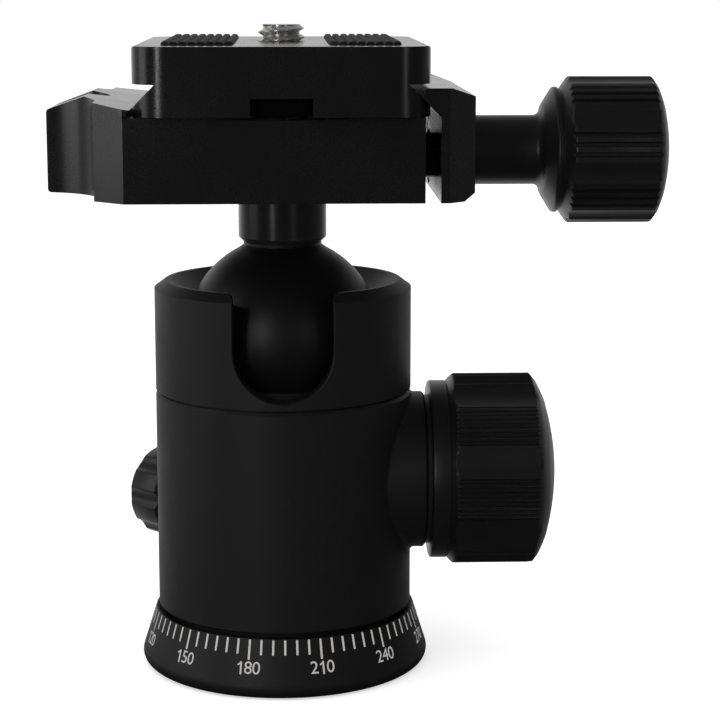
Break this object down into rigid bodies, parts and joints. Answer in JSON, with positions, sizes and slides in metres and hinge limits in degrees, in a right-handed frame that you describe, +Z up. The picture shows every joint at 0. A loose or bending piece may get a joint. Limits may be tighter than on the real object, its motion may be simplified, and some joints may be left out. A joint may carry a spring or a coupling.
{
  "type": "tripod ball head",
  "caption": "Compact tripod ball head: panning base, ball in a notched housing with side locks, and a dovetail screw clamp holding a quick-release plate.",
  "frame": {"origin": "centre of the base's underside, on the panning axis, at the mouth of the tripod socket", "axes": "+Z up along the panning axis, +X towards the main lock knob and the clamp knob, -Y to the front, where the drop notch opens"},
  "size_m": [0.0854, 0.05, 0.0903],
  "materials": {
    "base_black": "black anodised aluminium, fine satin",
    "body_black": "black anodised aluminium, fine satin",
    "clamp_black": "black anodised aluminium, bead blasted",
    "knob_black": "black anodised aluminium, machined grip",
    "ball_black": "hard black coating, semi-gloss",
    "stem_black": "black anodised aluminium, turned",
    "screw_black": "black oxide steel",
    "steel": "stainless steel, machined",
    "brass": "machined brass",
    "slip_plastic": "low-friction plastic",
    "black_plastic": "black low-friction plastic",
    "pad_rubber": "black ribbed rubber",
    "level_body": "clear yellow-green liquid in a plastic cup",
    "level_glass": "clear domed lens"
  },
  "bodies": {
    "base": {"pan_base": "base_black", "base_bush": "steel", "pan_spindle": "steel", "spindle_screw_1": "steel", "spindle_screw_2": "steel", "spindle_screw_3": "steel", "slip_washer_lower": "slip_plastic", "slip_washer_upper": "slip_plastic", "spindle_nut": "brass"},
    "housing": {"lower_housing": "body_black", "main_bush": "brass", "pan_bush": "brass", "upper_collar": "body_black", "seat_ring": "black_plastic"},
    "lock_wedge": {"lock_wedge": "brass"},
    "pressure_cup": {"pressure_cup": "black_plastic"},
    "main_washer": {"main_washer": "black_plastic"},
    "main_knob": {"main_knob": "knob_black", "main_screw": "steel", "main_knob_cap": "knob_black"},
    "pan_shoe": {"pan_shoe": "brass"},
    "pan_washer": {"pan_washer": "black_plastic"},
    "pan_knob": {"pan_knob": "knob_black", "pan_screw": "steel", "pan_knob_cap": "knob_black"},
    "ball": {"ball": "ball_black"},
    "neck": {"neck_ring": "ball_black"},
    "platform": {"stem": "stem_black", "stem_bolt": "screw_black", "clamp_body": "clamp_black", "guide_pin_front": "steel", "guide_pin_rear": "steel", "level_vial": "level_body", "level_ring": "clamp_black", "level_lens": "level_glass"},
    "jaw": {"clamp_jaw": "clamp_black", "thrust_washer": "steel"},
    "clamp_knob": {"clamp_knob": "knob_black", "lead_screw": "screw_black", "lead_clip": "steel", "clamp_knob_cap": "knob_black"},
    "plate": {"quick_plate": "clamp_black", "pad_left": "pad_rubber", "pad_right": "pad_rubber"},
    "screw_washer": {"screw_washer": "steel"},
    "camera_screw": {"camera_screw": "steel"}
  },
  "joints": [
    {"name": "pan", "type": "hinge", "parent": "base", "child": "housing", "pos_m": [0, 0, 0], "axis": [0, 0, 1], "continuous": true},
    {"name": "ball_roll", "type": "hinge", "parent": "housing", "child": "ball", "pos_m": [0, 0, 0.0473], "axis": [0, 1, 0], "range_deg": [-27, 27]},
    {"name": "ball_pitch", "type": "hinge", "parent": "ball", "child": "neck", "pos_m": [0, 0, 0.0473], "axis": [1, 0, 0], "range_deg": [-27, 90]},
    {"name": "ball_spin", "type": "hinge", "parent": "neck", "child": "platform", "pos_m": [0, 0, 0.0473], "axis": [0, 0, 1], "continuous": true},
    {"name": "main_knob_turn", "type": "hinge", "parent": "main_washer", "child": "main_knob", "pos_m": [0.02, 0, 0.0275], "axis": [1, 0, 0], "range_deg": [0, 540]},
    {"name": "main_knob_travel", "type": "slide", "parent": "housing", "child": "main_washer", "axis": [1, 0, 0], "range_m": [0, 0.0015]},
    {"name": "wedge_slide", "type": "slide", "parent": "housing", "child": "lock_wedge", "axis": [1, 0, 0], "range_m": [0, 0.0015]},
    {"name": "cup_drop", "type": "slide", "parent": "housing", "child": "pressure_cup", "axis": [0, 0, 1], "range_m": [-0.00021083, 0]},
    {"name": "pan_knob_turn", "type": "hinge", "parent": "pan_washer", "child": "pan_knob", "pos_m": [0, 0, 0.0206], "axis": [-0.7071, 0.7071, 0], "range_deg": [0, 360]},
    {"name": "pan_knob_travel", "type": "slide", "parent": "housing", "child": "pan_washer", "axis": [-0.7071, 0.7071, 0], "range_m": [0, 0.0007]},
    {"name": "pan_shoe_slide", "type": "slide", "parent": "housing", "child": "pan_shoe", "axis": [-0.7071, 0.7071, 0], "range_m": [0, 0.0007]},
    {"name": "jaw_slide", "type": "slide", "parent": "platform", "child": "jaw", "axis": [1, 0, 0], "range_m": [0, 0.004]},
    {"name": "clamp_knob_turn", "type": "hinge", "parent": "jaw", "child": "clamp_knob", "pos_m": [0.03, 0, 0.073], "axis": [1, 0, 0], "range_deg": [0, 1440]},
    {"name": "plate_slide", "type": "slide", "parent": "platform", "child": "plate", "axis": [0, 1, 0], "range_m": [-0.015, 0.015]},
    {"name": "camera_screw_lift", "type": "slide", "parent": "plate", "child": "screw_washer", "axis": [0, 0, 1], "range_m": [0, 0.0031]},
    {"name": "camera_screw_turn", "type": "hinge", "parent": "screw_washer", "child": "camera_screw", "pos_m": [0, 0, 0.085], "axis": [0, 0, 1], "continuous": true}
  ],
  "couplings": [
    {"joint": "main_knob_turn", "follows": "main_knob_travel", "rad_per_m": 6283.2},
    {"joint": "wedge_slide", "follows": "main_knob_travel", "ratio": 1},
    {"joint": "cup_drop", "follows": "main_knob_travel", "ratio": -0.14054},
    {"joint": "pan_knob_turn", "follows": "pan_knob_travel", "rad_per_m": 8976},
    {"joint": "pan_shoe_slide", "follows": "pan_knob_travel", "ratio": 1},
    {"joint": "clamp_knob_turn", "follows": "jaw_slide", "rad_per_m": 6283.2}
  ]
}
